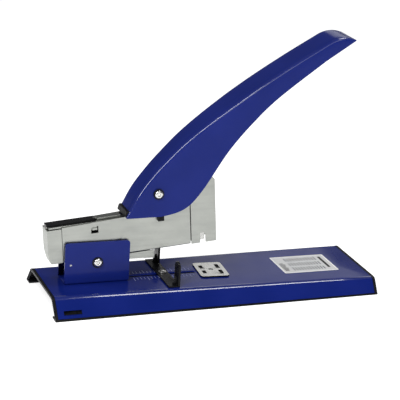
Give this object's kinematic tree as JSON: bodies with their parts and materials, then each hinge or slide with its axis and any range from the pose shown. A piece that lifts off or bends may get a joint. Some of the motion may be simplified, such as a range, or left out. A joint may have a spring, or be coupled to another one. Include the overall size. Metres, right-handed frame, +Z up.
{
  "type": "heavy-duty stapler",
  "caption": "Heavy-duty desktop stapler with a long lever handle, a rear-loading staple magazine, a sliding paper guide and a turning anvil on a folded sheet-steel base.",
  "frame": {"origin": "on the surface the stapler stands on, under the middle of its base", "axes": "+Z up, +X along the base from the hinge end to the paper end, +Y to the left of someone looking along +X"},
  "size_m": [0.29, 0.101, 0.2225],
  "materials": {
    "blue_paint": "glossy dark blue enamel",
    "satin_steel": "satin zinc plate",
    "bright_nickel": "bright nickel plate",
    "black_plastic": "black moulded plastic",
    "black_steel": "black oxide",
    "spring_steel": "oiled spring wire",
    "label_print": "printed film with a plain pattern"
  },
  "bodies": {
    "base": {"base_cover": "blue_paint", "base_edging": "black_plastic", "base_pan": "black_steel", "bracket": "blue_paint", "bracket_rivet_rear": "bright_nickel", "bracket_rivet_front": "bright_nickel", "hinge_screw": "bright_nickel", "hinge_washer": "black_steel", "hinge_nut": "bright_nickel", "head_spring": "spring_steel", "size_label": "label_print"},
    "guide": {"paper_guide": "black_steel", "guide_screw": "bright_nickel", "guide_nut_plate": "satin_steel"},
    "anvil": {"anvil_plate": "bright_nickel", "anvil_rivet": "satin_steel"},
    "head": {"head_frame": "satin_steel", "lift_arm": "satin_steel", "nose_housing": "satin_steel", "top_cover": "satin_steel", "top_rail": "satin_steel", "lever_pin": "black_steel", "handle_pin": "bright_nickel", "pin_washer_near": "black_steel", "pin_washer_far": "black_steel", "pin_spacer_near": "black_plastic", "pin_spacer_far": "black_plastic", "handle_spring": "spring_steel"},
    "magazine": {"rear_cap": "satin_steel", "latch_catch": "bright_nickel", "magazine_rail": "satin_steel", "staple_strip": "bright_nickel", "pusher_rod": "bright_nickel"},
    "follower": {"pusher": "black_plastic", "pusher_spring": "spring_steel"},
    "latch_lever": {"release_lever": "black_steel"},
    "handle": {"handle_shell": "blue_paint", "handle_end_cap": "black_plastic", "drive_lever": "satin_steel", "drive_pin": "bright_nickel"},
    "driver": {"driver_holder": "satin_steel", "driver_blade": "bright_nickel"}
  },
  "joints": [
    {"name": "head_pivot", "type": "hinge", "parent": "base", "child": "head", "pos_m": [-0.09902, 0, 0.03434], "axis": [0, 1, 0], "range_deg": [0, 15.5], "stiffness_Nm_per_rad": 3, "springref_deg": -34.38, "deforming": ["head_spring"]},
    {"name": "handle_pivot", "type": "hinge", "parent": "head", "child": "handle", "pos_m": [-0.04833, 0, 0.0926], "axis": [0, 1, 0], "range_deg": [0, 30], "stiffness_Nm_per_rad": 1.2, "springref_deg": -40.11},
    {"name": "driver_slide", "type": "slide", "parent": "head", "child": "driver", "axis": [0.0785, 0, -0.9969], "range_m": [0, 0.0222]},
    {"name": "guide_slide", "type": "slide", "parent": "base", "child": "guide", "axis": [0.9999, 0, -0.01], "range_m": [-0.025, 0.018]},
    {"name": "anvil_turn", "type": "hinge", "parent": "base", "child": "anvil", "pos_m": [0.007, 0, 0.01528], "axis": [0.01, 0, 0.9999], "range_deg": [0, 180]},
    {"name": "magazine_slide", "type": "slide", "parent": "head", "child": "magazine", "axis": [-0.9969, 0, -0.0785], "range_m": [0, 0.09]},
    {"name": "pusher_slide", "type": "slide", "parent": "magazine", "child": "follower", "axis": [-0.9969, 0, -0.0785], "range_m": [0, 0.011], "stiffness_N_per_m": 150, "springref_m": -0.02},
    {"name": "release_lever_pivot", "type": "hinge", "parent": "head", "child": "latch_lever", "pos_m": [-0.10026, 0, 0.07056], "axis": [0, 1, 0], "range_deg": [0, 12], "stiffness_Nm_per_rad": 0.05, "springref_deg": -22.92}
  ],
  "couplings": [
    {"joint": "driver_slide", "follows": "handle_pivot", "m_per_rad": 0.0417}
  ]
}
